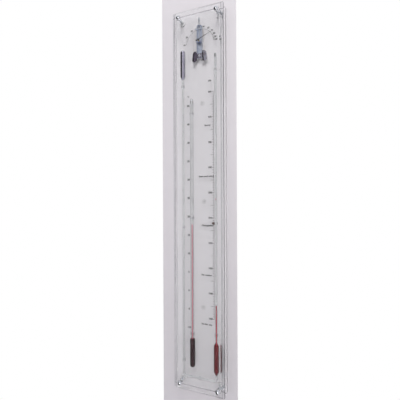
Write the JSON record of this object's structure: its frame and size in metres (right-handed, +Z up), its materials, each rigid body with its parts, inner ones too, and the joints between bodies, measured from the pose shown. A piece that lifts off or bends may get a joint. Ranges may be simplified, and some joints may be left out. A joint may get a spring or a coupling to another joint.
{
  "type": "wall barometer",
  "caption": "Wall barometer of two clear plates on studs, with a glass siphon tube, a thermometer, a hair hygrometer with a pointer, and a sliding reading index.",
  "frame": {"origin": "centre of the four wall fixings, on the wall plane", "axes": "+Z up along the long plates, +Y into the wall, +X to the right as seen from the front"},
  "size_m": [0.139, 0.0738, 0.995],
  "materials": {
    "front_acrylic": "clear, polished",
    "back_acrylic": "clear, polished",
    "clear_plastic": "clear, moulded",
    "glass_tube": "clear, drawn",
    "red_liquid": "liquid",
    "dark_red_liquid": "liquid",
    "dark_felt": "porous",
    "clip_plastic": "clear, moulded",
    "brown_plastic": "satin",
    "polished_steel": "mirror polished",
    "zinc_steel": "plated",
    "bright_sheet": "bright, slightly blue",
    "dark_sheet": "polished, reflecting dark",
    "brass": "turned",
    "blued_steel": "blued",
    "hair": "fine strands",
    "black_needle": "satin black"
  },
  "bodies": {
    "panel": {"front_plate": "front_acrylic", "back_plate": "back_acrylic", "wall_studs": "zinc_steel", "dome_caps": "polished_steel", "cap_washers": "polished_steel", "spacer_tubes": "clear_plastic", "clamp_nuts": "zinc_steel", "clamp_washers": "zinc_steel", "wall_standoffs": "clear_plastic", "siphon_tube": "glass_tube", "siphon_liquid": "red_liquid", "vent_plug": "dark_felt", "siphon_saddles": "clear_plastic", "thermometer_tube": "glass_tube", "thermometer_liquid": "dark_red_liquid", "thermometer_saddles": "clear_plastic", "hygrometer_frame": "bright_sheet", "hygrometer_foot": "dark_sheet", "frame_screws": "zinc_steel", "frame_nuts": "zinc_steel", "hair_bar": "dark_sheet", "hair_bundle": "hair", "arbor_bridge": "bright_sheet", "arbor_bushes": "brass", "hairspring": "blued_steel"},
    "reading_index": {"index_clip": "clip_plastic", "index_pointer": "brown_plastic"},
    "needle": {"arbor": "zinc_steel", "pointer_hub": "black_needle", "pointer": "black_needle", "hub_cap": "black_needle", "counterweight": "black_needle"},
    "adjuster": {"adjusting_screw": "zinc_steel"}
  },
  "joints": [
    {"name": "index_slide", "type": "slide", "parent": "panel", "child": "reading_index", "axis": [0, 0, 1], "range_m": [-0.249, 0.341]},
    {"name": "pointer_turn", "type": "hinge", "parent": "panel", "child": "needle", "pos_m": [0, -0.02, 0.418], "axis": [0, -1, 0], "range_deg": [-21, 153]},
    {"name": "adjuster_turn", "type": "hinge", "parent": "panel", "child": "adjuster", "pos_m": [0, -0.0156, 0.468], "axis": [0, 0, 1], "range_deg": [-180, 180]}
  ]
}
